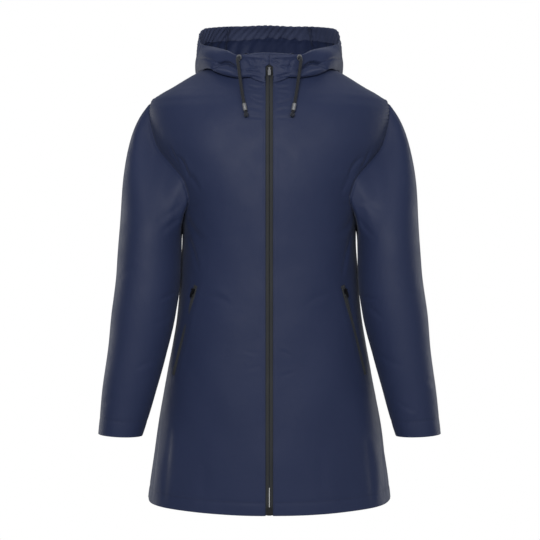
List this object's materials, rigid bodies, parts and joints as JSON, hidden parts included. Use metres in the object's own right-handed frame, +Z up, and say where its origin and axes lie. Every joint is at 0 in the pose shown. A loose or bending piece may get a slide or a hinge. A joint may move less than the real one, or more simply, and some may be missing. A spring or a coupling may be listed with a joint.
{
  "type": "hooded raincoat",
  "caption": "Hooded raincoat in coated cloth with a full-length zip, slanted zipped pockets, long sleeves and a drawcord hood lying open behind the neck.",
  "frame": {"origin": "middle of the neck opening at the height of the shoulder neck points, where the coat hangs on the wearer", "axes": "+Z up the wearer's spine, -Y out of the coat's front, +X to the wearer's left"},
  "size_m": [0.649, 0.3417, 0.957],
  "materials": {
    "cloth": "coated navy cloth, matt with a soft sheen",
    "zip_tape": "woven, charcoal, matt",
    "slider": "gunmetal, satin",
    "pull": "gunmetal, satin",
    "eyelet": "nickel, satin",
    "ferrule": "nickel, satin",
    "cord": "braided navy cord",
    "knot": "braided navy cord, knotted"
  },
  "bodies": {
    "coat": {"back": "cloth", "front_left": "cloth", "front_right": "cloth", "sleeve_left": "cloth", "sleeve_right": "cloth", "hood_centre": "cloth", "hood_left": "cloth", "hood_right": "cloth", "zip_tape_left": "zip_tape", "zip_tape_right": "zip_tape", "zip_box": "slider", "zip_slider": "slider", "pocket_tape_left": "zip_tape", "pocket_slider_left": "slider", "eyelet_left": "eyelet", "cord_left": "cord", "ferrule_left": "ferrule", "knot_left": "knot", "pocket_tape_right": "zip_tape", "pocket_slider_right": "slider", "eyelet_right": "eyelet", "cord_right": "cord", "ferrule_right": "ferrule", "knot_right": "knot"},
    "zip_pull": {"zip_pull": "pull"},
    "pocket_pull_left": {"pocket_pull_left": "pull"},
    "pocket_pull_right": {"pocket_pull_right": "pull"}
  },
  "joints": [
    {"name": "zip_pull_swing", "type": "hinge", "parent": "coat", "child": "zip_pull", "pos_m": [0, -0.09601, -0.02715], "axis": [-1, 0, 0], "range_deg": [0, 165]},
    {"name": "pocket_pull_left_swing", "type": "hinge", "parent": "coat", "child": "pocket_pull_left", "pos_m": [0.14478, -0.08657, -0.44315], "axis": [-0.6362, -0.7099, -0.3021], "range_deg": [0, 165]},
    {"name": "pocket_pull_right_swing", "type": "hinge", "parent": "coat", "child": "pocket_pull_right", "pos_m": [-0.14478, -0.08657, -0.44315], "axis": [-0.6362, 0.7099, 0.3021], "range_deg": [0, 165]}
  ]
}
